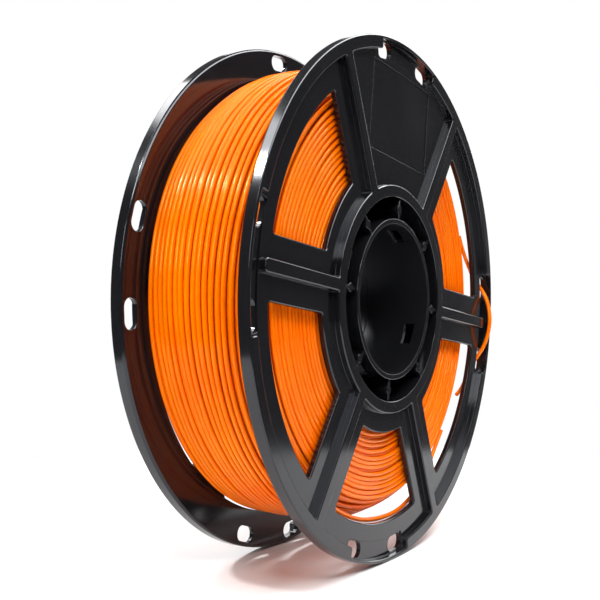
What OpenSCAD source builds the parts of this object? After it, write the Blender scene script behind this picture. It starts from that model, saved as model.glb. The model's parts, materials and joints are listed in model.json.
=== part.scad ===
// Filament spool: two moulded halves that meet on the mid-plane, with one strand of filament wound on them.
// Millimetres. The origin is the centre of the bore, half way between the flanges.
// +Y runs along the bore from the front flange to the rear one, +Z is up and the spool stands on its rims.
// Angles are measured in the XZ plane from +X towards +Z.

/* [Spool] */
// Outside diameter of both flanges
flange_d = 200; // [198:0.5:202]
// Overall width, over the raised faces of both flanges
spool_w = 55.3; // [54.5:0.1:58]
// Bore for the holder's shaft
bore_d = 58; // [54:0.5:58.5]
// Wall of the bore tube
tube_wall = 2; // [1.6:0.1:2.2]
// Outside diameter of the barrel that the filament is wound on
barrel_d = 84; // [83.6:0.2:84.6]
// Wall of the barrel
barrel_wall = 2.6; // [2.2:0.1:3]

/* [Flange] */
// Thickness of the flange plate
plate_t = 2.3; // [2.1:0.05:2.6]
// Height of the rim lip, the ribs and the hub ring above the plate
raise = 2.45; // [2.3:0.05:2.6]
// Radial width of the rim lip
lip_w = 5; // [4.6:0.1:5.2]
// Radial width of the raised hub ring
hub_ring_w = 4.6; // [4:0.1:5.5]
// Direction of the first rib; the others follow every 60 degrees
rib_angle = 173.1; // [171:0.1:174]
// Width of a rib
rib_w = 4.7; // [4:0.1:5.4]
// Radius at which the two side ribs end short of the rim lip
short_rib_r = 91; // [90.4:0.1:91.2]

/* [Windows] */
// Inner radius of a window
window_in_r = 51.5; // [50.5:0.1:52]
// Outer radius of a window
window_out_r = 85.5; // [84:0.1:86]
// Width of the spoke between two windows
spoke_w = 22; // [21:0.1:24]
// Corner radius at the outer end of a window
window_out_fillet = 1.3; // [0.8:0.1:2]
// Corner radius at the inner end of a window
window_in_fillet = 1; // [0.6:0.1:1.6]

/* [Label recess] */
// Inner radius of the label recess
label_in_r = 54.6; // [54:0.1:56]
// Distance of its outer edge from the bore's axis
label_out_r = 88.9; // [88:0.1:90]
// Width of the label recess
label_w = 49; // [45:0.5:50]
// Depth of the label recess
label_depth = 0.45; // [0.3:0.05:0.6]

/* [Rim pockets and slots] */
// Inner radius of a rim pocket
pocket_in_r = 92; // [91.4:0.1:92.4]
// Outer radius of a rim pocket
pocket_out_r = 98.7; // [98.4:0.1:98.8]
// Half of the angle that a pocket spans
pocket_half = 13.6; // [13.5:0.1:13.8]
// Depth of a pocket's floor below the flange plate
pocket_depth = 0.5; // [0.3:0.1:0.7]
// Angle from a pocket's middle to the middle of each of its two slots
slot_angle = 10; // [9.9:0.1:10.1]
// Radius at which the slots are centred
slot_r = 95.2; // [95:0.1:95.4]
// Length of a slot round the rim
slot_l = 10.8; // [10.4:0.1:11]
// Width of a slot across the rim
slot_w = 6; // [5.4:0.1:6.2]

/* [Hub] */
// Thickness of a hub web
web_t = 1.2; // [1:0.1:1.6]
// Radius of the boss on each web
boss_r = 1.7; // [1.6:0.05:1.9]
// Radius of the circle that the bosses lie on
boss_circle_r = 35; // [34.6:0.1:35.4]
// How far the webs lie behind the flange's outer face
web_setback = 0.6; // [0.3:0.1:1]
// Radius of a joining peg
peg_r = 0.9; // [0.8:0.05:1]
// Length of a joining peg
peg_l = 6; // [4:0.5:8]
// Length along the bore of a latch window
latch_l = 4; // [3:0.1:5]
// Width round the bore of a latch window
latch_w = 8.9; // [7:0.1:9.2]
// Distance from the mid-plane to the middle of a latch window
latch_y = 20.5; // [19:0.1:21]

/* [Filament] */
// Diameter of the filament
filament_d = 1.75; // [1.65:0.05:1.8]

/* [Hidden] */

plastic = [0.12, 0.12, 0.135];
inner_plastic = [0.09, 0.09, 0.1];
filament = [1, 0.42, 0.02];

flange_r = flange_d / 2;
outer_y = spool_w / 2;               // the raised face
plate_y = outer_y - raise;           // the plate's outer face
inner_y = plate_y - plate_t;         // the face that the filament is wound against
pocket_y = plate_y - pocket_depth;   // the floor of a rim pocket
rib_step = 60;
panel_angle = rib_angle - 1.5 * rib_step;
pocket_step = 90;
slots_at = [for (i = [0 : 3]) for (s = [-1, 1]) rib_angle + pocket_step * i + slot_angle * s];

bore_r = bore_d / 2;
tube_r = bore_r + tube_wall;
barrel_r = barrel_d / 2;
gap_r = barrel_r - barrel_wall;      // outside of the gap round the bore tube
hub_ring_r = gap_r + hub_ring_w;
hub_plate_r = 54;                    // where the hub plate meets the spokes
rim_plate_r = 80;                    // where the spokes meet the rim
web_step = 45;
latch_step = 90;
latch_angle = rib_angle + 1.5 * web_step;
peg_clearance = 0.05;
past = 1;                            // how far a cutter runs past a face

// The wound filament's outline: its radius at each distance along the axis
pack_end = inner_y - 0.6;
pack_outline = [
    [80.3, -pack_end], [81.6, -20], [83.2, -18], [85.6, -14], [87.8, -10], [89.3, -5], [89.9, 0],
    [90, 10], [89.8, 17], [89.5, 20], [89, pack_end]
];
unwound_gap = 0.3;                   // between the pack and the rear barrel half, which slides out of it

// Routes of the free filament: radius, angle and distance along the axis
loose_y = -20.3;
loose_route = [
    for (p = [
        [82.9, -44], [83.2, -49], [84.2, -54], [85.3, -59], [86.2, -64], [86.8, -69], [86.9, -74],
        [86.6, -79], [86, -84], [85.4, -89], [84.9, -94], [84.5, -99], [84, -104], [83.5, -109],
        [83.1, -114], [82.9, -119], [82.8, -124]
    ]) [p[0], p[1], loose_y]
];
tail_route = [
    [82.9, 20, -20.6], [83.7, 17, -20.8], [85.2, 14, -21], [87.3, 11.4, -21.1],
    [89.6, 9.2, -21.2], [91.9, 7.4, -21.2], [94, 5.5, -21.7], [95.1, 4, -23],
    [95.4, 2.6, -24.6], [95.3, 1, -26.2], [95, -0.8, -27.6], [94.6, -3, -28.7],
    [94.4, -5.6, -29.3], [94.5, -8.2, -29.1], [94.8, -10.6, -28.3], [95.1, -12.8, -27.1],
    [95.3, -14.6, -25.7], [95.4, -16.2, -24.1], [95.3, -17.8, -22.6], [94.9, -19.5, -21.5],
    [94.1, -21.4, -21.1], [92.9, -23.5, -20.9], [91.2, -25.8, -20.8], [89.3, -27.8, -20.7],
    [87.4, -29.5, -20.6]
];

function polar(r, a) = [r * cos(a), r * sin(a)];
function arc(c, r, a0, a1, n, first = 0) = [for (i = [first : n]) c + polar(r, a0 + (a1 - a0) * i / n)];
function in_space(p) = [p[0] * cos(p[1]), p[2], p[0] * sin(p[1])];

// Half of a window that is centred on angle 0: the outer arc, the two corners and the inner arc
function window_half() =
    let (
        half = rib_step / 2,
        along = polar(1, half),
        across = polar(1, half + 90),
        out_off = spoke_w / 2 + window_out_fillet,
        in_off = spoke_w / 2 + window_in_fillet,
        out_run = sqrt(pow(window_out_r - window_out_fillet, 2) - out_off * out_off),
        in_run = sqrt(pow(window_in_r + window_in_fillet, 2) - in_off * in_off),
        out_c = out_run * along - out_off * across,
        in_c = in_run * along - in_off * across,
        out_a = atan2(out_c[1], out_c[0]),
        in_a = atan2(in_c[1], in_c[0])
    )
    concat(
        arc([0, 0], window_out_r, 0, out_a, 8),
        arc(out_c, window_out_fillet, out_a, half + 90, 5, 1),
        arc(in_c, window_in_fillet, half + 90, in_a + 180, 4),
        arc([0, 0], window_in_r, in_a, 0, 6, 1)
    );

function window_outline() =
    let (upper = window_half(), count = len(upper))
    concat(upper, [for (i = [count - 2 : -1 : 1]) [upper[i][0], -upper[i][1]]]);

// A plate between two distances along the axis, drawn in the XZ plane
module slab(y0, y1) {
    translate([0, y1, 0]) rotate([90, 0, 0]) linear_extrude(y1 - y0) children();
}

module ring(r0, r1) {
    difference() {
        circle(r1, $fn = 180);
        circle(r0, $fn = 180);
    }
}

// The part of a ring within half_a of an angle; half_a stays under 90
module ring_sector(r0, r1, a, half_a) {
    reach = r1 / cos(half_a) + past;
    intersection() {
        ring(r0, r1);
        rotate(a) polygon([[0, 0], polar(reach, -half_a), polar(reach, half_a)]);
    }
}

module windows_2d() {
    for (i = [0 : 4]) rotate(panel_angle + rib_step * (i + 1)) polygon(window_outline());
}

module label_2d() {
    rotate(panel_angle) translate([label_in_r, -label_w / 2]) square([label_out_r - label_in_r, label_w]);
}

module rib_2d(a, end_r) {
    rotate(a) translate([hub_ring_r - past, -rib_w / 2]) square([end_r - hub_ring_r + past, rib_w]);
}

module slot_2d(a) {
    run = slot_l / 2 - slot_w / 2;
    rotate(a) translate([slot_r, 0]) {
        square([slot_w, 2 * run], center = true);
        for (s = [-1, 1]) translate([0, s * run]) circle(slot_w / 2, $fn = 48);
    }
}

// Everything below is drawn for the front half; the rear half is its mirror image.

module rim() {
    color(plastic) difference() {
        union() {
            slab(-plate_y, -inner_y) difference() {
                ring(rim_plate_r, flange_r);
                windows_2d();
            }
            slab(-outer_y, -plate_y) ring(flange_r - lip_w, flange_r);
        }
        for (i = [0 : 3]) slab(-outer_y - past, -pocket_y)
            ring_sector(pocket_in_r, pocket_out_r, rib_angle + pocket_step * i, pocket_half);
        for (a = slots_at) slab(-outer_y - past, -inner_y + past) slot_2d(a);
        slab(-outer_y - past, -plate_y + label_depth) label_2d();
    }
}

module spokes() {
    color(plastic) for (a = [0 : 3]) slab(-plate_y, -inner_y) difference() {
        ring_sector(hub_plate_r, rim_plate_r, rib_angle + rib_step * a, rib_step / 2);
        windows_2d();
    }
}

module label_panel() {
    color(plastic) difference() {
        slab(-plate_y, -inner_y) difference() {
            ring_sector(hub_plate_r, rim_plate_r, panel_angle, rib_step);
            windows_2d();
        }
        slab(-outer_y - past, -plate_y + label_depth) label_2d();
    }
}

module ribs() {
    color(plastic) slab(-outer_y, -plate_y) {
        for (a = [1, 2, 4, 5]) intersection() {
            rib_2d(rib_angle + rib_step * a, flange_r);
            ring(hub_ring_r, flange_r - lip_w);
        }
        for (a = [0, 3]) intersection() {
            rib_2d(rib_angle + rib_step * a, short_rib_r);
            ring(hub_ring_r, flange_r - lip_w);
        }
    }
}

module hub_plate() {
    color(plastic) {
        slab(-plate_y, -inner_y) difference() {
            ring(gap_r, hub_plate_r);
            windows_2d();
        }
        slab(-outer_y, -plate_y) ring(gap_r, hub_ring_r);
    }
}

module barrel() {
    color(inner_plastic) slab(-inner_y, 0) ring(gap_r, barrel_r);
}

module bore_tube() {
    color(inner_plastic) difference() {
        slab(-outer_y, 0) ring(bore_r, tube_r);
        for (i = [0 : 3]) rotate([0, -(latch_angle + latch_step * i), 0])
            translate([bore_r - past, -latch_y - latch_l / 2, -latch_w / 2])
                cube([tube_wall + 2 * past, latch_l, latch_w]);
    }
}

module hub_webs(socket_r = 0) {
    color(inner_plastic) difference() {
        slab(-outer_y + web_setback, 0) for (i = [0 : 7]) rotate(rib_angle + web_step * i) {
            intersection() {
                ring(tube_r, gap_r);
                translate([0, -web_t / 2]) square([flange_r, web_t]);
            }
            translate([boss_circle_r, 0]) circle(boss_r, $fn = 32);
        }
        if (socket_r > 0) slab(-peg_l - past / 2, past) for (i = [0 : 7])
            rotate(rib_angle + web_step * i) translate([boss_circle_r, 0]) circle(socket_r, $fn = 32);
    }
}

module front_rim() { rim(); }
module front_spokes() { spokes(); }
module front_label_panel() { label_panel(); }
module front_ribs() { ribs(); }
module front_hub_plate() { hub_plate(); }
module front_barrel() { barrel(); }
module front_bore_tube() { bore_tube(); }
module front_hub_webs() { hub_webs(peg_r + peg_clearance); }

module rear_rim() { mirror([0, 1, 0]) rim(); }
module rear_spokes() { mirror([0, 1, 0]) spokes(); }
module rear_label_panel() { mirror([0, 1, 0]) label_panel(); }
module rear_ribs() { mirror([0, 1, 0]) ribs(); }
module rear_hub_plate() { mirror([0, 1, 0]) hub_plate(); }
module rear_barrel() { mirror([0, 1, 0]) barrel(); }
module rear_bore_tube() { mirror([0, 1, 0]) bore_tube(); }
module rear_hub_webs() { mirror([0, 1, 0]) hub_webs(); }

module joining_pegs() {
    color(inner_plastic) slab(-peg_l, 0) for (i = [0 : 7])
        rotate(rib_angle + web_step * i) translate([boss_circle_r, 0]) circle(peg_r, $fn = 32);
}

module filament_pack() {
    outline = concat(
        [[barrel_r, -pack_end]],
        pack_outline,
        [[barrel_r + unwound_gap, pack_end], [barrel_r + unwound_gap, 0], [barrel_r, 0]]
    );
    color(filament) rotate([-90, 0, 0]) rotate_extrude($fn = 180) polygon(outline);
}

// A round strand of the filament's diameter along a route
module strand(route) {
    sides = 8;
    line = [for (p = route) in_space(p)];
    last = len(line) - 1;
    rings = [for (i = [0 : last])
        let (
            run = line[min(i + 1, last)] - line[max(i - 1, 0)],
            dir = run / norm(run),
            away = cross(dir, [0, 1, 0]),
            u = away / norm(away),
            v = cross(dir, u)
        )
        [for (k = [0 : sides - 1])
            line[i] + filament_d / 2 * (cos(360 * k / sides) * u + sin(360 * k / sides) * v)]
    ];
    color(filament) polyhedron(
        points = [for (r = rings) for (p = r) p],
        faces = concat(
            [[for (k = [0 : sides - 1]) k]],
            [[for (k = [sides - 1 : -1 : 0]) last * sides + k]],
            [for (i = [0 : last - 1]) for (k = [0 : sides - 1])
                [i * sides + k, (i + 1) * sides + k, (i + 1) * sides + (k + 1) % sides,
                 i * sides + (k + 1) % sides]]
        )
    );
}

module loose_turn() { strand(loose_route); }
module filament_tail() { strand(tail_route); }

front_rim();
front_spokes();
front_label_panel();
front_ribs();
front_hub_plate();
front_barrel();
front_bore_tube();
front_hub_webs();
rear_rim();
rear_spokes();
rear_label_panel();
rear_ribs();
rear_hub_plate();
rear_barrel();
rear_bore_tube();
rear_hub_webs();
joining_pegs();
filament_pack();
loose_turn();
filament_tail();
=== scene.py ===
"""Filament spool: its looks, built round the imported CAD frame.

Metres throughout. The frame's origin is the middle of the bore, +Y runs from the front flange to the
rear one and +Z is up. Angles are in the XZ plane, in degrees from +X towards +Z.
"""

import json
import math
import random

import bmesh
import bpy
import numpy as np
from mathutils import Matrix, Vector
from mathutils.geometry import tessellate_polygon


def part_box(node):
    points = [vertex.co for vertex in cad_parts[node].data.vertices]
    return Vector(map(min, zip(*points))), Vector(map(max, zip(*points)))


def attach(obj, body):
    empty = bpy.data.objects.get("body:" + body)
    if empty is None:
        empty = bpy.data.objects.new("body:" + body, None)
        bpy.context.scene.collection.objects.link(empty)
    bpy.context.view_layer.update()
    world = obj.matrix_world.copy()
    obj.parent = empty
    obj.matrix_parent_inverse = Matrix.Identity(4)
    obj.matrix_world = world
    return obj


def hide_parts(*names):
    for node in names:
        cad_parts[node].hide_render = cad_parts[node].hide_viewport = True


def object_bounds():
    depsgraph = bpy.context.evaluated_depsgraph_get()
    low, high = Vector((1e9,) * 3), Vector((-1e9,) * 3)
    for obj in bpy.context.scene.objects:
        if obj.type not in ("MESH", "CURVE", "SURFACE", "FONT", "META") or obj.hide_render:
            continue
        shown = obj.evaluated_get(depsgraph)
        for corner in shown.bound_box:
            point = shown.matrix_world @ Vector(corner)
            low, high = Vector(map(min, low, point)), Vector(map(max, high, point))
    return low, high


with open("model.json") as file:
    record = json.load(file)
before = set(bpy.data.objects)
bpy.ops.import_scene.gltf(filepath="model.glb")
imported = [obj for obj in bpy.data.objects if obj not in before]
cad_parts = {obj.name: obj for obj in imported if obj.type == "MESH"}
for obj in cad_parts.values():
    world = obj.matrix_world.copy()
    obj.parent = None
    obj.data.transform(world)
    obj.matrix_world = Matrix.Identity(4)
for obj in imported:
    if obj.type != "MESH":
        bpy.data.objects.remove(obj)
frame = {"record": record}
cad_low, cad_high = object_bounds()

# ---------------------------------------------------------------- sizes

MM = 0.001


def half_width(node):
    """Half of a round node's diameter."""
    low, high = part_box(node)
    return (high.x - low.x) / 2


FLANGE_R = cad_high.z
OUTER_Y = -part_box("front_rim")[0].y             # the raised face
INNER_Y = -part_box("front_rim")[1].y             # the face that the filament is wound against
BARREL_R = half_width("front_barrel")
TUBE_R = half_width("front_bore_tube")
BORE_R = frame["record"]["mounts"][0]["dims"]["r_mm"] * MM
PACK_FRONT_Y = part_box("filament_pack")[0].y
PACK_REAR_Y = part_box("filament_pack")[1].y

RAISE = 2.45 * MM                               # lip, ribs and hub ring above the plate
THICK = OUTER_Y - INNER_Y
GAP_R = BARREL_R - 2.6 * MM                     # outside of the gap round the bore tube
HUB_RING_R = GAP_R + 4.6 * MM
LIP_R = FLANGE_R - 5 * MM                       # inner edge of the rim lip
RIB_ANGLE, RIB_STEP, RIB_W = 173.1, 60, 4.7 * MM
SHORT_RIB_R = 91 * MM                           # where the two side ribs end
WINDOW_IN_R, WINDOW_OUT_R, SPOKE_W = 51.5 * MM, 85.5 * MM, 22 * MM
WINDOW_FILLETS = (1 * MM, 1.3 * MM)             # at its inner and its outer corners
LABEL_IN, LABEL_OUT, LABEL_HALF_W, LABEL_DEPTH = 54.6 * MM, 88.9 * MM, 24.5 * MM, 0.45 * MM
POCKET_IN_R, POCKET_OUT_R, POCKET_HALF, POCKET_DEPTH = 92 * MM, 98.7 * MM, 13.6, 0.5 * MM
POCKET_STEP = 90
SLOT_R, SLOT_ANGLE, SLOT_L, SLOT_W = 95.2 * MM, 10, 10.8 * MM, 6 * MM
WEB_COUNT, WEB_STEP, WEB_T, WEB_SETBACK = 8, 45, 1.2 * MM, 0.6 * MM
BOSS_R, BOSS_CIRCLE_R = 1.7 * MM, 35 * MM
PEG_R, PEG_L, PEG_ROOM, PEG_SIDES = 0.9 * MM, 6 * MM, 0.05 * MM, 24
LATCH_ANGLE, LATCH_STEP = RIB_ANGLE + 1.5 * WEB_STEP, 90
LATCH_L, LATCH_W, LATCH_Y = 4 * MM, 8.9 * MM, 20.5 * MM
STRAND_D = 1.75 * MM
STRAND_R = STRAND_D / 2


def polar(r, a, y=0.0):
    a = math.radians(a)
    return Vector((r * math.cos(a), y, r * math.sin(a)))


# ---------------------------------------------------------------- camera

CAMERA_TURN = math.radians(60.17)               # from +Y towards +X
CAMERA_TILT = math.radians(-0.126)
CAMERA_ROLL = math.radians(0.275)
CAMERA_DISTANCE = 0.42013
SENSOR, LENS = 36.0, 63.24
LENS_SHIFT_X, LENS_SHIFT_Y = -0.0562, -0.00197
NEAREST = 0.01
ahead = Vector((math.sin(CAMERA_TURN) * math.cos(CAMERA_TILT),
                math.cos(CAMERA_TURN) * math.cos(CAMERA_TILT), math.sin(CAMERA_TILT)))
level = ahead.cross(Vector((0, 0, 1))).normalized()
above = level.cross(ahead)
right = level * math.cos(CAMERA_ROLL) + above * math.sin(CAMERA_ROLL)
up = above * math.cos(CAMERA_ROLL) - level * math.sin(CAMERA_ROLL)

camera = bpy.data.objects.new("camera", bpy.data.cameras.new("camera"))
bpy.context.scene.collection.objects.link(camera)
camera.matrix_world = (Matrix.Translation(ahead * -CAMERA_DISTANCE)
                       @ Matrix((right, up, -ahead)).transposed().to_4x4())
camera.data.sensor_width = SENSOR
camera.data.lens = LENS
camera.data.shift_x = LENS_SHIFT_X
camera.data.shift_y = LENS_SHIFT_Y
camera.data.clip_start = NEAREST
bpy.context.scene.camera = camera

# ---------------------------------------------------------------- materials


class Nodes:
    """A new material's node tree, with short calls to add and link nodes."""

    def __init__(self, name):
        self.material = bpy.data.materials.new(name)
        self.material.use_nodes = True
        self.tree = self.material.node_tree
        self.shader = self.tree.nodes["Principled BSDF"]

    def add(self, kind, **values):
        node = self.tree.nodes.new(kind)
        for key, value in values.items():
            if key in node.inputs:
                node.inputs[key].default_value = value
            else:
                setattr(node, key, value)
        return node

    def link(self, source, target):
        self.tree.links.new(source, target)

    def set(self, **values):
        for key, value in values.items():
            self.shader.inputs[key.replace("_", " ")].default_value = value

    def place(self):
        return self.add("ShaderNodeTexCoord").outputs["Object"]

    def noise(self, scale, detail):
        node = self.add("ShaderNodeTexNoise", Scale=scale, Detail=detail, Roughness=0.5)
        self.link(self.place(), node.inputs["Vector"])
        return node.outputs["Fac"]

    def radius(self):
        """Distance from the bore's axis."""
        across = self.add("ShaderNodeVectorMath", operation="MULTIPLY")
        self.link(self.place(), across.inputs[0])
        across.inputs[1].default_value = (1, 0, 1)
        length = self.add("ShaderNodeVectorMath", operation="LENGTH")
        self.link(across.outputs[0], length.inputs[0])
        return length.outputs["Value"]

    def span(self, source, low, high, out_low, out_high):
        """Source from low..high to out_low..out_high, kept inside it."""
        node = self.add("ShaderNodeMapRange")
        for socket, value in zip(node.inputs[1:5], (low, high, out_low, out_high)):
            socket.default_value = value
        self.link(source, node.inputs[0])
        return node.outputs[0]

    def sum(self, a, b):
        node = self.add("ShaderNodeMath", operation="ADD")
        self.link(a, node.inputs[0])
        self.link(b, node.inputs[1])
        return node.outputs[0]

    def mix(self, share, a, b):
        """A colour between two colours."""
        node = self.add("ShaderNodeMix", data_type="RGBA")
        self.link(share, node.inputs["Factor"])
        node.inputs[6].default_value, node.inputs[7].default_value = a, b
        return node.outputs[2]

    def bump(self, height, strength, distance):
        node = self.add("ShaderNodeBump", Strength=strength, Distance=distance)
        self.link(height, node.inputs["Height"])
        self.link(node.outputs["Normal"], self.shader.inputs["Normal"])


def black_plastic():
    """Glossy moulded polystyrene: faint flow marks in its gloss, a very fine grain, and a satin bore."""
    n = Nodes("black_plastic")
    n.set(Specular_Tint=(0.9, 0.93, 1.0, 1))
    broad, fine = n.noise(32, 3), n.noise(1400, 1)
    tone = n.mix(n.span(broad, 0.3, 0.7, 0, 1), (0.005, 0.005, 0.0062, 1), (0.0075, 0.0075, 0.0092, 1))
    n.link(tone, n.shader.inputs["Base Color"])
    radius, bore_skin = n.radius(), BORE_R + 0.3 * MM
    n.link(n.span(radius, BORE_R, bore_skin, 0.15, 0.5), n.shader.inputs["Specular IOR Level"])
    gloss, satin = n.span(broad, 0.3, 0.7, 0.1, 0.15), n.span(radius, BORE_R, bore_skin, 0.25, 0)
    n.link(n.sum(gloss, satin), n.shader.inputs["Roughness"])
    n.bump(fine, 0.01, 0.00002)
    return n.material


def orange_filament():
    """Glossy extruded strand: clear orange, a little deeper in places, with faint dulling along it."""
    n = Nodes("orange_filament")
    n.set(Specular_IOR_Level=0.4, Specular_Tint=(1.0, 0.76, 0.28, 1), Subsurface_Weight=0.4,
          Subsurface_Radius=(0.001, 0.0006, 0.0001), Subsurface_Scale=1.0)
    broad, fine = n.noise(26, 2), n.noise(420, 3)
    tone = n.mix(n.span(broad, 0.3, 0.7, 0, 1), (1.0, 0.15, 0.0, 1), (1.0, 0.2, 0.0002, 1))
    n.link(tone, n.shader.inputs["Base Color"])
    n.link(n.span(fine, 0.3, 0.7, 0.11, 0.18), n.shader.inputs["Roughness"])
    n.bump(fine, 0.05, 0.0003)
    return n.material


BLACK, ORANGE = black_plastic(), orange_filament()

# ---------------------------------------------------------------- free strands

LOOSE_Y = -20.3 * MM
LOOSE_ROUTE = [polar(r * MM, a, LOOSE_Y) for r, a in (
    (82.9, -44), (83.2, -49), (84.2, -54), (85.3, -59), (86.2, -64), (86.8, -69), (86.9, -74),
    (86.6, -79), (86, -84), (85.4, -89), (84.9, -94), (84.5, -99), (84, -104), (83.5, -109),
    (83.1, -114), (82.9, -119), (82.8, -124))]
TAIL_ROUTE = [polar(r * MM, a, y * MM) for r, a, y in (
    (82.9, 20, -20.6), (83.7, 17, -20.8), (85.2, 14, -21), (87.3, 11.4, -21.1),
    (89.6, 9.2, -21.2), (91.9, 7.4, -21.2), (94, 5.5, -21.7), (95.1, 4, -23),
    (95.4, 2.6, -24.6), (95.3, 1, -26.2), (95, -0.8, -27.6), (94.6, -3, -28.7),
    (94.4, -5.6, -29.3), (94.5, -8.2, -29.1), (94.8, -10.6, -28.3), (95.1, -12.8, -27.1),
    (95.3, -14.6, -25.7), (95.4, -16.2, -24.1), (95.3, -17.8, -22.6), (94.9, -19.5, -21.5),
    (94.1, -21.4, -21.1), (92.9, -23.5, -20.9), (91.2, -25.8, -20.8), (89.3, -27.8, -20.7),
    (87.4, -29.5, -20.6))]


def smooth_line(points, per_span):
    """Points on a smooth curve through these points (Catmull-Rom)."""
    p = [points[0] * 2 - points[1], *points, points[-1] * 2 - points[-2]]
    line = []
    for a, b, c, d in zip(p, p[1:], p[2:], p[3:]):
        for i in range(per_span):
            t = i / per_span
            line.append(((2 * b) + (c - a) * t + (2 * a - 5 * b + 4 * c - d) * t * t
                         + (3 * b - a - 3 * c + d) * t ** 3) / 2)
    return [*line, points[-1]]


def strand_curve(name, route, node):
    """A free strand as one round curve."""
    line = smooth_line(route, 6)
    curve = bpy.data.curves.new(name, "CURVE")
    curve.dimensions = "3D"
    spline = curve.splines.new("POLY")
    spline.points.add(len(line) - 1)
    for point, place in zip(spline.points, line):
        point.co = (*place, 1)
    curve.bevel_depth = STRAND_R
    curve.bevel_resolution = 5
    curve.use_fill_caps = True
    curve.materials.append(ORANGE)
    strand = bpy.data.objects.new(name, curve)
    bpy.context.scene.collection.objects.link(strand)
    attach(strand, "front_half")
    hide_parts(node)


strand_curve("loose_turn_strand", LOOSE_ROUTE, "loose_turn")
strand_curve("tail_strand", TAIL_ROUTE, "filament_tail")

# ---------------------------------------------------------------- outlines

ARC_STEP, FILLET_STEP = 1.5, 12                 # degrees between the points of large and small arcs
LARGE_R = 20 * MM
LEAST_STEPS = 5
SAME_POINT = 1e-6


def arc(centre, r, a0, a1):
    """Points on an arc from angle a0 to a1, both ends included."""
    count = max(LEAST_STEPS, round(abs(a1 - a0) / (ARC_STEP if r > LARGE_R else FILLET_STEP)))
    turn = [math.radians(a0 + (a1 - a0) * i / count) for i in range(count + 1)]
    return [(centre[0] + r * math.cos(t), centre[1] + r * math.sin(t)) for t in turn]


def spin(points, a):
    c, s = math.cos(math.radians(a)), math.sin(math.radians(a))
    return [(c * x - s * z, s * x + c * z) for x, z in points]


def closed(half):
    """The whole outline from its upper half, which starts and ends on the X axis."""
    return tidy(half + [(x, -z) for x, z in reversed(half)])


def tidy(points):
    """The outline without points that repeat, anticlockwise."""
    kept = [p for i, p in enumerate(points) if math.dist(p, points[i - 1]) > SAME_POINT]
    area = sum(a[0] * b[1] - b[0] * a[1] for a, b in zip(kept, kept[1:] + kept[:1]))
    return kept if area > 0 else kept[::-1]


def circle(r, count=360):
    return [(r * math.cos(2 * math.pi * i / count), r * math.sin(2 * math.pi * i / count))
            for i in range(count)]


def corner(r, fillet, gap):
    """Centre of the fillet between an arc of radius r and a spoke's side half a gap from its line at
    30 degrees. The centre is inside the arc where fillet is positive and outside it where negative."""
    off = gap / 2 + abs(fillet)
    run = math.sqrt((r - fillet) ** 2 - off ** 2)
    return spin([(run, -off)], RIB_STEP / 2)[0]


def angle_of(point):
    return math.degrees(math.atan2(point[1], point[0]))


def bay_side(r_in, r_out, gap, fillets, a0, a1):
    """From the outer arc at angle a0 to the inner arc at angle a1, round the two corners at the side of
    the spoke at 30 degrees."""
    inner, outer = corner(r_in, -fillets[0], gap), corner(r_out, fillets[1], gap)
    side = RIB_STEP / 2 + 90
    return (arc((0, 0), r_out, a0, angle_of(outer)) + arc(outer, fillets[1], angle_of(outer), side)
            + arc(inner, fillets[0], side, angle_of(inner) + 180)
            + arc((0, 0), r_in, angle_of(inner), a1))


def window_outline():
    return closed(bay_side(WINDOW_IN_R, WINDOW_OUT_R, SPOKE_W, WINDOW_FILLETS, 0, 0))


BAY_FILLET, STEP_FILLET, TIP_FILLET = 0.9 * MM, 1.1 * MM, 1.3 * MM
LABEL_FILLET = 0.6 * MM
POCKET_LEDGE = 0.3 * MM
WEB_BITE = 0.4 * MM                             # how far a web is let into what it meets


def pocket_step():
    """The lip's inner edge from a pocket's middle to where the lip is wide again, and that angle."""
    f = STEP_FILLET
    near, far = POCKET_OUT_R - f, LIP_R + f
    concave = POCKET_HALF - math.degrees(math.asin(f / near))
    convex = POCKET_HALF + math.degrees(math.asin(f / far))
    turn = arc(spin([(near, 0)], concave)[0], f, concave, POCKET_HALF + 90)
    back = arc(spin([(far, 0)], convex)[0], f, POCKET_HALF - 90, convex - 180)
    return arc((0, 0), POCKET_OUT_R, 0, concave) + turn + back, convex


def single_bay():
    """The sunk area between two ribs, with a pocket at the middle of its rim."""
    step, start = pocket_step()
    return closed(step + bay_side(HUB_RING_R, LIP_R, RIB_W, (BAY_FILLET, BAY_FILLET), start, 0))


def double_bay():
    """The sunk area on both sides of a short rib, joined by the pocket past the rib's end."""
    step, start = pocket_step()
    half = RIB_STEP / 2
    inner = corner(HUB_RING_R, -BAY_FILLET, RIB_W)
    side = bay_side(HUB_RING_R, LIP_R, RIB_W, (BAY_FILLET, BAY_FILLET), start - half, -angle_of(inner))
    root = arc((inner[0], -inner[1]), BAY_FILLET, 180 - angle_of(inner), 270 - half)
    tip = arc((SHORT_RIB_R - TIP_FILLET, RIB_W / 2 - TIP_FILLET), TIP_FILLET, 90, 0)
    return closed(step + spin(side, half) + spin(root, half) + tip + [(SHORT_RIB_R, 0)])


def rounded_box(x0, x1, half_z, fillet):
    return closed([(x1, 0)] + arc((x1 - fillet, half_z - fillet), fillet, 0, 90)
                  + arc((x0 + fillet, half_z - fillet), fillet, 90, 180) + [(x0, 0)])


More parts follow.
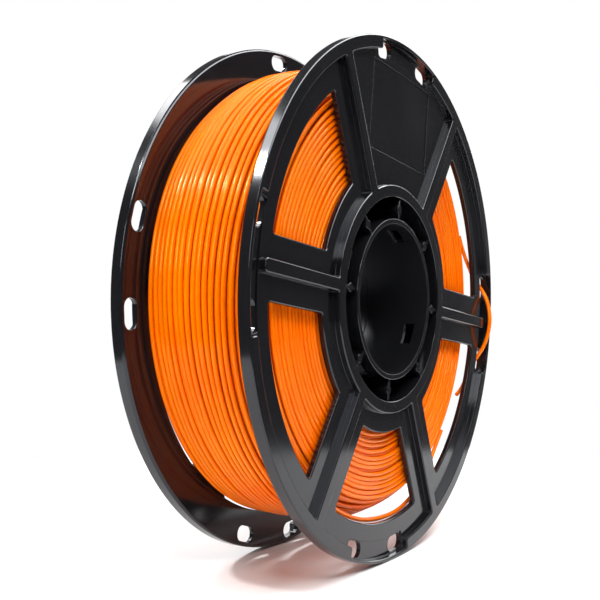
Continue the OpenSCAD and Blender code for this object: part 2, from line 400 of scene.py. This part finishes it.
def pocket_outline():
    """A pocket's deeper floor, a narrow ledge inside the lip's step."""
    f, r_out = STEP_FILLET - POCKET_LEDGE, POCKET_OUT_R - POCKET_LEDGE
    half = POCKET_HALF - math.degrees(POCKET_LEDGE / r_out)
    outer = half - math.degrees(math.asin(f / (r_out - f)))
    inner = half - math.degrees(math.asin(f / (POCKET_IN_R + f)))
    return closed(arc((0, 0), r_out, 0, outer)
                  + arc(spin([(r_out - f, 0)], outer)[0], f, outer, half + 90)
                  + arc(spin([(POCKET_IN_R + f, 0)], inner)[0], f, half + 90, inner + 180)
                  + arc((0, 0), POCKET_IN_R, inner, 0))


def slot_outline(a):
    run = (SLOT_L - SLOT_W) / 2
    half = arc((0, run), SLOT_W / 2, 0, 180)
    shape = half + [(-x, -z) for x, z in half]
    return tidy(spin([(x + SLOT_R, z) for x, z in shape], a))


def web_outline():
    """A hub web with its boss, let into the tube and the hub ring at its two ends."""
    meet = math.degrees(math.asin(WEB_T / 2 / BOSS_R))
    outer, inner = GAP_R + WEB_BITE, TUBE_R - WEB_BITE
    return closed([(outer, 0), (outer, WEB_T / 2)] + arc((BOSS_CIRCLE_R, 0), BOSS_R, meet, 180 - meet)
                  + [(inner, WEB_T / 2), (inner, 0)])


# ---------------------------------------------------------------- moulded solids

EDGE, SOFT, CORNER, FINE = 0.5 * MM, 0.3 * MM, 0.15 * MM, 0.12 * MM
RIM_ROUND = 1 * MM                              # the rim's edge on the filament's side
WEB_ROUND, SLOT_ROUND, POCKET_CORNER = 0.2 * MM, 0.1 * MM, 0.06 * MM
PEG_ROOT, PEG_SHORT, PEG_LEAD = 1 * MM, 0.1 * MM, 0.35 * MM
WALL_STEPS = 4                                  # rows of points across each rounded edge
WINDOWS_AT = ((-30, 30), (0,), (-30, 30), ())   # in each quarter, from its pocket's middle


class Shell:
    """A closed solid made of flat faces square to the axis and the rounded walls between them.

    Depth runs along the axis from the flange's outer face inwards. Each point keeps its own exact
    normal, so that the flat faces stay flat under a glossy finish."""

    def __init__(self):
        self.points, self.normals, self.faces = [], [], []

    def ring(self, outline, depth, offset, out, along):
        """One loop of points. offset moves it along the outline's outward normals; the surface normal
        there is out times that normal, and along times the inward axis."""
        co = np.array(outline)
        edge = np.roll(co, -1, 0) - co
        edge /= np.linalg.norm(edge, axis=1)[:, None]
        side = np.stack([edge[:, 1], -edge[:, 0]], 1)
        side = side + np.roll(side, 1, 0)
        length = np.linalg.norm(side, axis=1)[:, None]
        side /= length
        moved = co + side * offset * np.minimum(2 / length, 1.5)
        start = len(self.points)
        self.points += [(x, depth, z) for x, z in moved]
        self.normals += [(out * x, along, out * z) for x, z in side]
        return list(range(start, start + len(outline)))

    def wall(self, outline, top, bottom, ends, hole=True):
        """The wall round an outline from depth top to depth bottom. ends gives each end's shape: a
        positive radius softens an edge that stands out, nearly flat across its middle, and a negative
        one fills a corner. Returns the first and last loops."""
        sign = 1 if hole else -1
        rows = []
        for end, radius in ((0, ends[0]), (1, ends[1])):
            r, row = abs(radius), []
            for i in range(WALL_STEPS + 1):
                t = math.pi / 2 * i / WALL_STEPS
                lean = math.pi / 4 * (1 + (2 * i / WALL_STEPS - 1) ** 3) if radius > 0 else t
                away = (r - r * math.sin(t)) * (1 if radius > 0 else -1)
                drop = r - r * math.cos(t)
                face = math.cos(lean) * (1 if radius > 0 else -1)
                depth, along = (top + drop, -face) if end == 0 else (bottom - drop, face)
                row.append(self.ring(outline, depth, sign * away, -sign * math.sin(lean), along))
            rows += row if end == 0 else row[::-1]
        for a, b in zip(rows, rows[1:]):
            for i in range(len(a)):
                j = (i + 1) % len(a)
                self.faces.append((a[i], a[j], b[j], b[i]))
        return rows[0], rows[-1]

    def flat(self, outer, holes=()):
        """The flat face inside one loop and outside others."""
        loops = [outer, *holes]
        flat = [k for loop in loops for k in loop]
        shape = [[Vector((self.points[k][0], self.points[k][2], 0)) for k in loop] for loop in loops]
        self.faces += [tuple(flat[i] for i in tri) for tri in tessellate_polygon(shape)]

    def piece(self, name, side, nodes):
        """The finished object, on the front or the rear half of the spool."""
        toward = 1 if side == "rear" else -1
        co = [(x, toward * (OUTER_Y - d), z) for x, d, z in self.points]
        no = np.array([(x, -toward * a, z) for x, a, z in self.normals])
        no /= np.linalg.norm(no, axis=1)[:, None]
        mesh = bpy.data.meshes.new(name)
        mesh.from_pydata(co, [], face_with(self.faces, np.array(co), no))
        mesh.polygons.foreach_set("use_smooth", [True] * len(mesh.polygons))
        mesh.normals_split_custom_set_from_vertices([tuple(v) for v in no])
        mesh.materials.append(BLACK)
        finish_piece(name, mesh, f"{side}_half", nodes)


def face_with(faces, co, no):
    """The faces, each turned so that its own side agrees with its points' normals."""
    turned = []
    for f in faces:
        a, b, c = co[f[0]], co[f[1]], co[f[2]]
        across = np.cross(b - a, c - a)
        if len(f) == 4:
            across = np.cross(c - a, co[f[3]] - b)
        turned.append(f if across @ no[list(f)].sum(0) >= 0 else f[::-1])
    return turned


def face_outward(mesh):
    """Turn every face of a closed mesh outward."""
    turned = bmesh.new()
    turned.from_mesh(mesh)
    bmesh.ops.recalc_face_normals(turned, faces=turned.faces)
    turned.to_mesh(mesh)
    turned.free()


def finish_piece(name, mesh, body, nodes):
    piece = bpy.data.objects.new(name, mesh)
    bpy.context.scene.collection.objects.link(piece)
    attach(piece, body)
    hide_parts(*nodes)
    return piece


def flange(side):
    """One flange and its half of the barrel, as the single moulding that they are."""
    s = Shell()
    plate, pocket_floor = RAISE, RAISE + POCKET_DEPTH
    rim_top, rim_back = s.wall(circle(FLANGE_R), 0, THICK, (EDGE, RIM_ROUND), hole=False)
    hub_top, hub_end = s.wall(circle(GAP_R), 0, OUTER_Y, (SOFT, FINE))
    barrel_back, barrel_end = s.wall(circle(BARREL_R), THICK, OUTER_Y, (-SOFT, FINE), hole=False)
    s.flat(barrel_end, [hub_end])
    top_holes, back_holes = [hub_top], [barrel_back]
    for i, windows in enumerate(WINDOWS_AT):
        a = RIB_ANGLE + POCKET_STEP * i
        bay = double_bay() if i % 2 == 0 else single_bay()
        top, floor = s.wall(spin(bay, a), 0, plate, (EDGE, -CORNER))
        top_holes.append(top)
        floor_holes = []
        for w in windows:
            w_top, w_back = s.wall(spin(window_outline(), a + w), plate, THICK, (EDGE, SOFT))
            floor_holes.append(w_top)
            back_holes.append(w_back)
        if not windows:
            label = spin(rounded_box(LABEL_IN, LABEL_OUT, LABEL_HALF_W, LABEL_FILLET), a)
            l_top, l_floor = s.wall(label, plate, plate + LABEL_DEPTH, (CORNER, -FINE))
            floor_holes.append(l_top)
            s.flat(l_floor)
        p_top, p_floor = s.wall(spin(pocket_outline(), a), plate, pocket_floor, (FINE, -POCKET_CORNER))
        floor_holes.append(p_top)
        s.flat(floor, floor_holes)
        slots = []
        for b in (-SLOT_ANGLE, SLOT_ANGLE):
            s_top, s_back = s.wall(slot_outline(a + b), pocket_floor, THICK, (SLOT_ROUND, SOFT))
            slots.append(s_top)
            back_holes.append(s_back)
        s.flat(p_floor, slots)
    s.flat(rim_top, top_holes)
    s.flat(rim_back, back_holes)
    parts = ("rim", "spokes", "label_panel", "ribs", "hub_plate", "barrel")
    s.piece(f"{side}_flange", side, [f"{side}_{part}" for part in parts])


def webs(side):
    """The eight hub webs with their bosses. The front ones have sockets for the pegs."""
    s = Shell()
    for i in range(WEB_COUNT):
        a = RIB_ANGLE + WEB_STEP * i
        top, end = s.wall(spin(web_outline(), a), WEB_SETBACK, OUTER_Y, (WEB_ROUND, FINE), hole=False)
        s.flat(top)
        if side == "rear":
            s.flat(end)
            continue
        hole = [(x + BOSS_CIRCLE_R, z) for x, z in circle(PEG_R + PEG_ROOM, PEG_SIDES)]
        mouth, floor = s.wall(spin(hole, a), OUTER_Y, OUTER_Y - PEG_L - PEG_ROOM, (-FINE, -FINE))
        s.flat(end, [mouth])
        s.flat(floor)
    s.piece(f"{side}_webs", side, [f"{side}_hub_webs"])


NEAR_EDGE = 0.6                                 # no other column of points this close to a window's edge


def apart(a, b):
    """Degrees between two directions."""
    return abs((a - b + 180) % 360 - 180)


def bore_tube(side):
    """Half of the bore tube, with its latch windows cut through the wall."""
    latch_half = math.degrees(LATCH_W / 2 / BORE_R)
    latch_mid = [(LATCH_ANGLE + LATCH_STEP * i) % 360 for i in range(4)]
    edges = [(m + way * latch_half) % 360 for m in latch_mid for way in (-1, 1)]
    even = [ARC_STEP * i for i in range(round(360 / ARC_STEP))]
    turn = sorted({*edges, *(a for a in even if min(apart(a, e) for e in edges) > NEAR_EDGE)})
    mid_depth = OUTER_Y - LATCH_Y
    depth = sorted([0, mid_depth - LATCH_L / 2, mid_depth + LATCH_L / 2, OUTER_Y])
    count, rows = len(turn), len(depth)
    toward = 1 if side == "rear" else -1
    points = [polar(r, a, toward * (OUTER_Y - d)) for r in (BORE_R, TUBE_R) for d in depth for a in turn]

    def at(wall, row, column):
        return (wall * rows + row) * count + column % count

    def is_open(row, column):
        here, after = turn[column % count], turn[(column + 1) % count]
        middle = (here + ((after - here) % 360) / 2) % 360
        return row == 1 and any(apart(middle, m) < latch_half for m in latch_mid)

    faces = []
    for c in range(count):
        for w in (0, 1):
            faces += [(at(w, r, c), at(w, r, c + 1), at(w, r + 1, c + 1), at(w, r + 1, c))
                      for r in range(rows - 1) if not is_open(r, c)]
        for r in (0, rows - 1):
            faces.append((at(0, r, c), at(0, r, c + 1), at(1, r, c + 1), at(1, r, c)))
        if is_open(1, c):
            faces += [(at(0, r, c), at(0, r, c + 1), at(1, r, c + 1), at(1, r, c)) for r in (1, 2)]
            for edge, near in ((c, c - 1), (c + 1, c + 1)):
                if not is_open(1, near):
                    faces.append((at(0, 1, edge), at(0, 2, edge), at(1, 2, edge), at(1, 1, edge)))
    name = f"{side}_bore"
    mesh = bpy.data.meshes.new(name)
    mesh.from_pydata(points, [], faces)
    face_outward(mesh)
    mesh.polygons.foreach_set("use_smooth", [True] * len(mesh.polygons))
    mesh.materials.append(BLACK)
    piece = finish_piece(name, mesh, f"{side}_half", [f"{side}_bore_tube"])
    bevel = piece.modifiers.new("edges", "BEVEL")
    bevel.width, bevel.segments, bevel.limit_method = SOFT, 3, "ANGLE"
    bevel.angle_limit = math.radians(40)
    bevel.harden_normals = True


def pegs():
    """The pegs that press into the front half's sockets."""
    s = Shell()
    for i in range(WEB_COUNT):
        peg = [(x + BOSS_CIRCLE_R, z) for x, z in circle(PEG_R, PEG_SIDES)]
        root, tip = s.wall(spin(peg, RIB_ANGLE + WEB_STEP * i), OUTER_Y - PEG_ROOT,
                           OUTER_Y + PEG_L - PEG_SHORT, (FINE, PEG_LEAD), hole=False)
        s.flat(root)
        s.flat(tip)
    s.piece("pegs", "rear", ["joining_pegs"])


for half in ("front", "rear"):
    flange(half)
    webs(half)
    bore_tube(half)
pegs()

# ---------------------------------------------------------------- wound filament

PACK_OUTLINE = [(y * MM, r * MM) for r, y in (
    (80.3, -22.3), (81.6, -20), (83.2, -18), (85.6, -14), (87.8, -10), (89.3, -5), (89.9, 0),
    (90, 10), (89.8, 17), (89.5, 20), (89, 22.3))]
HOLLOWS = ((123, 22 * MM, 2.3 * MM, 21, 8 * MM), (95, -14 * MM, 1.6 * MM, 20, 6 * MM),
           (253, 10 * MM, 3.9 * MM, 50, 60 * MM))
PER_TURN = 220                                  # points along one turn
TUBE_SIDES = 8
TOUCH = STRAND_D + 0.03 * MM                    # between two turns that lie side by side
SHALLOW = 0.7 * MM                              # the least that a turn sinks between two others
EVEN = 0.5                                      # a turn's share of the spare room, before it varies
OUTER_WAVER, END_WAVER = 0.12 * MM, 0.15 * MM
FLANGE_ROOM, BARREL_ROOM = 0.15 * MM, 2 * MM    # round the rings at the two ends
WAVE_COUNT = 7
CORE_INSET, CORE_ROOM, CORE_SIDES, CORE_ROWS = 6.6 * MM, 0.4 * MM, 240, 24


def surface_r(y):
    """The pack's outside radius at a distance along the axis."""
    return np.interp(y, *np.array(PACK_OUTLINE).T)


def hollow(y):
    """How far the turns sink in the pack's shallow hollows. A hollow has an angle, a place along the
    axis, a depth, and its spread in both directions."""
    a = 360 * np.arange(len(y)) / PER_TURN
    sunk = np.zeros(len(y))
    for at_a, at_y, depth, spread_a, spread_y in HOLLOWS:
        off = (a - at_a + 180) % 360 - 180
        sunk += depth * np.exp(-(off / spread_a) ** 2 - ((y - at_y) / spread_y) ** 2)
    return sunk


def waves(turns, seed, low, high):
    """A smooth random function of the winding angle, one value per sample, from about -1 to 1."""
    draw = random.Random(seed)
    t = np.arange(turns * PER_TURN + 1) / PER_TURN
    total = np.zeros(len(t))
    for _ in range(WAVE_COUNT):
        total += np.sin(2 * math.pi * (draw.uniform(low, high) * t + draw.random()))
    return total / math.sqrt(WAVE_COUNT)


def winding(first, last, turns, seed):
    """Where each sample of a winding lies between two ends. Neighbouring turns lie side by side or some
    way apart, by a smooth random amount, and never cross."""
    spare = np.clip(EVEN + waves(turns, seed, 0.15, 1.9), 0.02, 1.6)
    t = np.arange(len(spare)) / PER_TURN
    calm = np.clip(np.minimum(t - 1, turns - t) / 0.5, 0, 1)
    calm = calm * calm * (3 - 2 * calm)
    spare = EVEN + (spare - EVEN) * calm
    columns = spare[PER_TURN:turns * PER_TURN].reshape(turns - 1, PER_TURN)
    total = columns.sum(0)
    span, touching = abs(last - first), (turns - 1) * TOUCH
    step = (TOUCH + EVEN * (span - touching) / total[0]) / (1 + EVEN / total[0])
    share = (span - step - touching) / total
    ramp = t[:PER_TURN]
    place = np.empty(len(spare))
    place[:PER_TURN] = step * ramp
    for k in range(1, turns):
        start, end = k * PER_TURN, (k + 1) * PER_TURN
        place[start:end] = place[start - PER_TURN:start] + TOUCH + share * columns[k - 1]
    place[-1] = span
    return first + math.copysign(1, last - first) * place


def tube_mesh(name, line):
    """A round strand along a line of points that runs round the axis."""
    run = np.gradient(line, axis=0)
    run /= np.linalg.norm(run, axis=1)[:, None]
    out = line * (1, 0, 1)
    out -= (out * run).sum(1)[:, None] * run
    out /= np.linalg.norm(out, axis=1)[:, None]
    across = np.cross(run, out)
    turn = 2 * math.pi * np.arange(TUBE_SIDES) / TUBE_SIDES
    ring = (line[:, None] + STRAND_R * (np.cos(turn)[None, :, None] * out[:, None]
                                        + np.sin(turn)[None, :, None] * across[:, None]))
    faces = [(a + k, a + (k + 1) % TUBE_SIDES, a + TUBE_SIDES + (k + 1) % TUBE_SIDES, a + TUBE_SIDES + k)
             for a in range(0, (len(line) - 1) * TUBE_SIDES, TUBE_SIDES) for k in range(TUBE_SIDES)]
    last = (len(line) - 1) * TUBE_SIDES
    faces += [tuple(range(TUBE_SIDES))[::-1], tuple(range(last, last + TUBE_SIDES))]
    mesh = bpy.data.meshes.new(name)
    mesh.from_pydata(ring.reshape(-1, 3).tolist(), [], faces)
    mesh.polygons.foreach_set("use_smooth", [len(f) == 4 for f in faces])
    mesh.materials.append(ORANGE)
    finish_piece(name, mesh, "front_half", ["filament_pack"])


def around(r, y, turns):
    """Points at radius r and distance y along the axis, going round."""
    t = 2 * math.pi * np.arange(len(r)) / PER_TURN
    return np.stack([r * np.cos(t), y, r * np.sin(t)], 1)[:turns * PER_TURN + 1]


def grooves(along, out, inward):
    """Where a strand lies in the groove between each turn and the next one of a layer."""
    one, other = along[:-PER_TURN], along[PER_TURN:]
    sink = np.sqrt(np.maximum(STRAND_D ** 2 - ((other - one) / 2) ** 2, SHALLOW ** 2))
    return (one + other) / 2, (out[:-PER_TURN] + out[PER_TURN:]) / 2 + inward * sink


def wound_layers(turns, seed):
    """The two outer layers, from one flange to the other."""
    y = winding(PACK_FRONT_Y + STRAND_R, PACK_REAR_Y - STRAND_R, turns, seed)
    r = surface_r(y) - STRAND_R - hollow(y) + OUTER_WAVER * waves(turns, seed + 1, 0.3, 2.5)
    tube_mesh("pack_outer_layer", around(r, y, turns))
    below_y, below_r = grooves(y, r, -1)
    tube_mesh("pack_second_layer", around(below_r, below_y, turns - 1))


def end_rings(side, turns, seed):
    """The two layers of turns that lie against a flange, from the barrel out to the pack's edge."""
    edge, inward = (PACK_FRONT_Y, 1) if side == "front" else (PACK_REAR_Y, -1)
    r = winding(BARREL_R + BARREL_ROOM, surface_r(edge) - STRAND_R, turns, seed)
    share = np.clip((r - BARREL_R) / (surface_r(edge) - BARREL_R), 0, 1)
    r -= hollow(np.full(len(r), edge)) * share ** 2
    y = edge + inward * (STRAND_R + FLANGE_ROOM + END_WAVER * waves(turns, seed + 1, 0.3, 3))
    tube_mesh(f"pack_{side}_rings", around(r, y, turns))
    below_r, below_y = grooves(r, y, inward)
    tube_mesh(f"pack_{side}_inner_rings", around(below_r, below_y, turns - 1))


def pack_core():
    """The filled inside of the pack, under the turns that show."""
    inner, front, rear = BARREL_R + CORE_ROOM, PACK_FRONT_Y + CORE_INSET, PACK_REAR_Y - CORE_INSET
    rows = [(inner, front)]
    rows += [(surface_r(y) - CORE_INSET, y) for y in np.linspace(front, rear, CORE_ROWS)]
    rows += [(inner, rear)]
    points = [polar(r, 360 * i / CORE_SIDES, y) for r, y in rows for i in range(CORE_SIDES)]
    faces = []
    for a, b in zip(range(len(rows)), [*range(1, len(rows)), 0]):
        a, b = a * CORE_SIDES, b * CORE_SIDES
        faces += [(a + i, a + (i + 1) % CORE_SIDES, b + (i + 1) % CORE_SIDES, b + i)
                  for i in range(CORE_SIDES)]
    mesh = bpy.data.meshes.new("pack_core")
    mesh.from_pydata(points, [], faces)
    face_outward(mesh)
    mesh.materials.append(ORANGE)
    finish_piece("pack_core", mesh, "front_half", ["filament_pack"])


wound_layers(19, 11)
end_rings("front", 16, 32)
end_rings("rear", 16, 31)
pack_core()

# ---------------------------------------------------------------- stage

bpy.context.scene.view_settings.view_transform = "Standard"


def studio_world(fill, seen):
    """An even white studio: as bright as seen to the eye, and as fill where it lights the object."""
    world = bpy.data.worlds.new("studio")
    bpy.context.scene.world = world
    world.use_nodes = True
    tree = world.node_tree
    lit = tree.nodes["Background"]
    lit.inputs["Strength"].default_value = fill
    lit.inputs["Color"].default_value = (1, 1, 1, 1)
    shown = tree.nodes.new("ShaderNodeBackground")
    shown.inputs["Strength"].default_value = seen
    shown.inputs["Color"].default_value = (1, 1, 1, 1)
    path = tree.nodes.new("ShaderNodeLightPath")
    mix = tree.nodes.new("ShaderNodeMixShader")
    tree.links.new(path.outputs["Is Camera Ray"], mix.inputs[0])
    tree.links.new(lit.outputs[0], mix.inputs[1])
    tree.links.new(shown.outputs[0], mix.inputs[2])
    tree.links.new(mix.outputs[0], tree.nodes["World Output"].inputs["Surface"])


def softbox(name, direction, distance, width, height, radiance):
    """A rectangular light that faces the spool from a direction."""
    light = bpy.data.lights.new(name, "AREA")
    light.shape = "RECTANGLE"
    light.size, light.size_y = width, height
    light.energy = radiance * math.pi * width * height
    lamp = bpy.data.objects.new(name, light)
    bpy.context.scene.collection.objects.link(lamp)
    toward = Vector(direction).normalized()
    lamp.location = toward * distance
    lamp.rotation_mode = "QUATERNION"
    lamp.rotation_quaternion = toward.to_track_quat("Z", "Y")


FLOOR_REACH, FLOOR_SIDES, FLOOR_GAP = 0.3, 96, 0.0002


def pale_floor():
    mesh = bpy.data.meshes.new("floor")
    drop = Vector((0, 0, FLANGE_R + FLOOR_GAP))
    mesh.from_pydata([polar(FLOOR_REACH, 360 * i / FLOOR_SIDES).xzy - drop for i in range(FLOOR_SIDES)],
                     [], [tuple(range(FLOOR_SIDES))])
    n = Nodes("floor_paint")
    n.set(Base_Color=(0.82, 0.82, 0.82, 1), Roughness=0.7)
    mesh.materials.append(n.material)
    floor = bpy.data.objects.new("floor", mesh)
    bpy.context.scene.collection.objects.link(floor)


studio_world(0.1, 1.0)
# name, direction from the spool, distance, width, height, radiance
softbox("key", (-0.495, 0.5, 0.71), 1.15, 0.08, 0.09, 420)
softbox("key_strip", (-0.1, 0.56, 0.82), 1.2, 1.0, 0.15, 9)
softbox("front_left", (-0.62, -0.42, 0.66), 1.7, 0.5, 0.4, 18)
softbox("left", (-0.93, -0.1, 0.35), 1.7, 0.5, 0.5, 13)
softbox("front_top", (0.19, -0.43, 0.88), 1.05, 1.8, 0.35, 9)
softbox("top_right", (0.87, -0.02, 0.44), 1.5, 0.7, 0.85, 4)
softbox("right", (0.985, -0.17, -0.02), 1.5, 0.5, 0.9, 1.0)
softbox("back", (0.82, 0.57, 0.1), 1.5, 1.5, 1.2, 1.6)
pale_floor()
